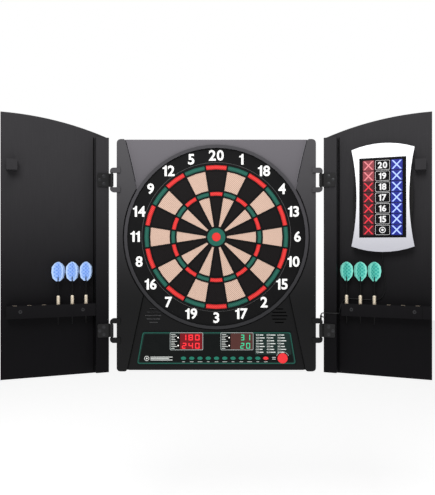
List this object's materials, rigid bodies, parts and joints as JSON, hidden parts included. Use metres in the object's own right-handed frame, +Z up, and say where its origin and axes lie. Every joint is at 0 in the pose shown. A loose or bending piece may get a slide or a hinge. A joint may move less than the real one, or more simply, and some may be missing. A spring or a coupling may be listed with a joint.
{
  "type": "electronic dartboard with cabinet doors",
  "caption": "Wall-hung electronic dartboard: round target with pressing segments, a keyed console, and two hinged doors with dart racks, darts and a scoreboard.",
  "frame": {"origin": "on the wall plane, at the back of the rear cover straight behind the bull", "axes": "+Z up, -Y out of the wall towards the player, +X to the player's right"},
  "size_m": [0.9858, 0.1362, 0.61],
  "materials": {
    "housing": "moulded, half gloss",
    "web": "moulded, satin",
    "rubber_mat": "matt",
    "segment_black": "matt, finely perforated",
    "segment_tan": "matt, finely perforated",
    "key_green": "satin",
    "key_red": "satin",
    "panel_film": "printed film, glossy",
    "circuit": "green lacquer",
    "speaker_steel": "plain",
    "door_board": "fibreboard with a black laminate",
    "hinge_plastic": "moulded",
    "case_black": "satin",
    "bezel_white": "glossy",
    "cable_rubber": "smooth sheath",
    "dart_blue": "light blue flights on a pale barrel",
    "dart_green": "mint flights on a pale barrel"
  },
  "bodies": {
    "board": {"front_housing": "housing", "rear_cover": "housing", "spider": "web", "switch_mat": "rubber_mat", "circuit_board": "circuit", "control_panel": "panel_film", "speaker": "speaker_steel"},
    "key_01_body": {"key_01": "key_green"},
    "key_02_body": {"key_02": "key_green"},
    "key_03_body": {"key_03": "key_green"},
    "key_04_body": {"key_04": "key_green"},
    "key_05_body": {"key_05": "key_green"},
    "key_06_body": {"key_06": "key_green"},
    "key_07_body": {"key_07": "key_green"},
    "key_08_body": {"key_08": "key_green"},
    "key_09_body": {"key_09": "key_green"},
    "key_10_body": {"key_10": "key_green"},
    "power_key_body": {"power_key": "key_red"},
    "player_button_body": {"player_button": "key_red"},
    "segment_20_body": {"segment_20": "segment_black"},
    "segment_01_body": {"segment_01": "segment_tan"},
    "segment_18_body": {"segment_18": "segment_black"},
    "segment_04_body": {"segment_04": "segment_tan"},
    "segment_13_body": {"segment_13": "segment_black"},
    "segment_06_body": {"segment_06": "segment_tan"},
    "segment_10_body": {"segment_10": "segment_black"},
    "segment_15_body": {"segment_15": "segment_tan"},
    "segment_02_body": {"segment_02": "segment_black"},
    "segment_17_body": {"segment_17": "segment_tan"},
    "segment_03_body": {"segment_03": "segment_black"},
    "segment_19_body": {"segment_19": "segment_tan"},
    "segment_07_body": {"segment_07": "segment_black"},
    "segment_16_body": {"segment_16": "segment_tan"},
    "segment_08_body": {"segment_08": "segment_black"},
    "segment_11_body": {"segment_11": "segment_tan"},
    "segment_14_body": {"segment_14": "segment_black"},
    "segment_09_body": {"segment_09": "segment_tan"},
    "segment_12_body": {"segment_12": "segment_black"},
    "segment_05_body": {"segment_05": "segment_tan"},
    "bull_ring_body": {"bull_ring": "key_green"},
    "bull_eye_body": {"bull_eye": "key_red"},
    "left_door": {"left_door_panel": "door_board", "left_stile": "door_board", "left_dart_rack": "door_board", "left_upper_hinge_leaf": "hinge_plastic", "left_lower_hinge_leaf": "hinge_plastic"},
    "right_door": {"right_door_panel": "door_board", "right_stile": "door_board", "right_dart_rack": "door_board", "right_upper_hinge_leaf": "hinge_plastic", "right_lower_hinge_leaf": "hinge_plastic", "scoreboard_case": "case_black", "scoreboard_bezel": "bezel_white", "scoreboard_cable": "cable_rubber"},
    "dart_blue_1_body": {"dart_blue_1": "dart_blue"},
    "dart_blue_2_body": {"dart_blue_2": "dart_blue"},
    "dart_blue_3_body": {"dart_blue_3": "dart_blue"},
    "dart_green_1_body": {"dart_green_1": "dart_green"},
    "dart_green_2_body": {"dart_green_2": "dart_green"},
    "dart_green_3_body": {"dart_green_3": "dart_green"}
  },
  "joints": [
    {"name": "key_01_press", "type": "slide", "parent": "board", "child": "key_01_body", "axis": [0, 1, 0], "range_m": [0, 0.0012], "stiffness_N_per_m": 250},
    {"name": "key_02_press", "type": "slide", "parent": "board", "child": "key_02_body", "axis": [0, 1, 0], "range_m": [0, 0.0012], "stiffness_N_per_m": 250},
    {"name": "key_03_press", "type": "slide", "parent": "board", "child": "key_03_body", "axis": [0, 1, 0], "range_m": [0, 0.0012], "stiffness_N_per_m": 250},
    {"name": "key_04_press", "type": "slide", "parent": "board", "child": "key_04_body", "axis": [0, 1, 0], "range_m": [0, 0.0012], "stiffness_N_per_m": 250},
    {"name": "key_05_press", "type": "slide", "parent": "board", "child": "key_05_body", "axis": [0, 1, 0], "range_m": [0, 0.0012], "stiffness_N_per_m": 250},
    {"name": "key_06_press", "type": "slide", "parent": "board", "child": "key_06_body", "axis": [0, 1, 0], "range_m": [0, 0.0012], "stiffness_N_per_m": 250},
    {"name": "key_07_press", "type": "slide", "parent": "board", "child": "key_07_body", "axis": [0, 1, 0], "range_m": [0, 0.0012], "stiffness_N_per_m": 250},
    {"name": "key_08_press", "type": "slide", "parent": "board", "child": "key_08_body", "axis": [0, 1, 0], "range_m": [0, 0.0012], "stiffness_N_per_m": 250},
    {"name": "key_09_press", "type": "slide", "parent": "board", "child": "key_09_body", "axis": [0, 1, 0], "range_m": [0, 0.0012], "stiffness_N_per_m": 250},
    {"name": "key_10_press", "type": "slide", "parent": "board", "child": "key_10_body", "axis": [0, 1, 0], "range_m": [0, 0.0012], "stiffness_N_per_m": 250},
    {"name": "power_key_press", "type": "slide", "parent": "board", "child": "power_key_body", "axis": [0, 1, 0], "range_m": [0, 0.0012], "stiffness_N_per_m": 250},
    {"name": "player_button_press", "type": "slide", "parent": "board", "child": "player_button_body", "axis": [0, 1, 0], "range_m": [0, 0.0012], "stiffness_N_per_m": 250},
    {"name": "segment_20_press", "type": "slide", "parent": "board", "child": "segment_20_body", "axis": [0, 1, 0], "range_m": [0, 0.0015], "stiffness_N_per_m": 400},
    {"name": "segment_01_press", "type": "slide", "parent": "board", "child": "segment_01_body", "axis": [0, 1, 0], "range_m": [0, 0.0015], "stiffness_N_per_m": 400},
    {"name": "segment_18_press", "type": "slide", "parent": "board", "child": "segment_18_body", "axis": [0, 1, 0], "range_m": [0, 0.0015], "stiffness_N_per_m": 400},
    {"name": "segment_04_press", "type": "slide", "parent": "board", "child": "segment_04_body", "axis": [0, 1, 0], "range_m": [0, 0.0015], "stiffness_N_per_m": 400},
    {"name": "segment_13_press", "type": "slide", "parent": "board", "child": "segment_13_body", "axis": [0, 1, 0], "range_m": [0, 0.0015], "stiffness_N_per_m": 400},
    {"name": "segment_06_press", "type": "slide", "parent": "board", "child": "segment_06_body", "axis": [0, 1, 0], "range_m": [0, 0.0015], "stiffness_N_per_m": 400},
    {"name": "segment_10_press", "type": "slide", "parent": "board", "child": "segment_10_body", "axis": [0, 1, 0], "range_m": [0, 0.0015], "stiffness_N_per_m": 400},
    {"name": "segment_15_press", "type": "slide", "parent": "board", "child": "segment_15_body", "axis": [0, 1, 0], "range_m": [0, 0.0015], "stiffness_N_per_m": 400},
    {"name": "segment_02_press", "type": "slide", "parent": "board", "child": "segment_02_body", "axis": [0, 1, 0], "range_m": [0, 0.0015], "stiffness_N_per_m": 400},
    {"name": "segment_17_press", "type": "slide", "parent": "board", "child": "segment_17_body", "axis": [0, 1, 0], "range_m": [0, 0.0015], "stiffness_N_per_m": 400},
    {"name": "segment_03_press", "type": "slide", "parent": "board", "child": "segment_03_body", "axis": [0, 1, 0], "range_m": [0, 0.0015], "stiffness_N_per_m": 400},
    {"name": "segment_19_press", "type": "slide", "parent": "board", "child": "segment_19_body", "axis": [0, 1, 0], "range_m": [0, 0.0015], "stiffness_N_per_m": 400},
    {"name": "segment_07_press", "type": "slide", "parent": "board", "child": "segment_07_body", "axis": [0, 1, 0], "range_m": [0, 0.0015], "stiffness_N_per_m": 400},
    {"name": "segment_16_press", "type": "slide", "parent": "board", "child": "segment_16_body", "axis": [0, 1, 0], "range_m": [0, 0.0015], "stiffness_N_per_m": 400},
    {"name": "segment_08_press", "type": "slide", "parent": "board", "child": "segment_08_body", "axis": [0, 1, 0], "range_m": [0, 0.0015], "stiffness_N_per_m": 400},
    {"name": "segment_11_press", "type": "slide", "parent": "board", "child": "segment_11_body", "axis": [0, 1, 0], "range_m": [0, 0.0015], "stiffness_N_per_m": 400},
    {"name": "segment_14_press", "type": "slide", "parent": "board", "child": "segment_14_body", "axis": [0, 1, 0], "range_m": [0, 0.0015], "stiffness_N_per_m": 400},
    {"name": "segment_09_press", "type": "slide", "parent": "board", "child": "segment_09_body", "axis": [0, 1, 0], "range_m": [0, 0.0015], "stiffness_N_per_m": 400},
    {"name": "segment_12_press", "type": "slide", "parent": "board", "child": "segment_12_body", "axis": [0, 1, 0], "range_m": [0, 0.0015], "stiffness_N_per_m": 400},
    {"name": "segment_05_press", "type": "slide", "parent": "board", "child": "segment_05_body", "axis": [0, 1, 0], "range_m": [0, 0.0015], "stiffness_N_per_m": 400},
    {"name": "bull_ring_press", "type": "slide", "parent": "board", "child": "bull_ring_body", "axis": [0, 1, 0], "range_m": [0, 0.0015], "stiffness_N_per_m": 400},
    {"name": "bull_eye_press", "type": "slide", "parent": "board", "child": "bull_eye_body", "axis": [0, 1, 0], "range_m": [0, 0.0015], "stiffness_N_per_m": 400},
    {"name": "left_door_hinge", "type": "hinge", "parent": "board", "child": "left_door", "pos_m": [-0.2475, -0.056, 0], "axis": [0, 0, 1], "range_deg": [-21, 159]},
    {"name": "right_door_hinge", "type": "hinge", "parent": "board", "child": "right_door", "pos_m": [0.2475, -0.056, 0], "axis": [0, 0, -1], "range_deg": [-21, 159]},
    {"name": "dart_blue_1_lift", "type": "slide", "parent": "left_door", "child": "dart_blue_1_body", "axis": [0, 0, 1], "range_m": [0, 0.05]},
    {"name": "dart_blue_2_lift", "type": "slide", "parent": "left_door", "child": "dart_blue_2_body", "axis": [0, 0, 1], "range_m": [0, 0.05]},
    {"name": "dart_blue_3_lift", "type": "slide", "parent": "left_door", "child": "dart_blue_3_body", "axis": [0, 0, 1], "range_m": [0, 0.05]},
    {"name": "dart_green_1_lift", "type": "slide", "parent": "right_door", "child": "dart_green_1_body", "axis": [0, 0, 1], "range_m": [0, 0.018]},
    {"name": "dart_green_2_lift", "type": "slide", "parent": "right_door", "child": "dart_green_2_body", "axis": [0, 0, 1], "range_m": [0, 0.018]},
    {"name": "dart_green_3_lift", "type": "slide", "parent": "right_door", "child": "dart_green_3_body", "axis": [0, 0, 1], "range_m": [0, 0.018]}
  ]
}
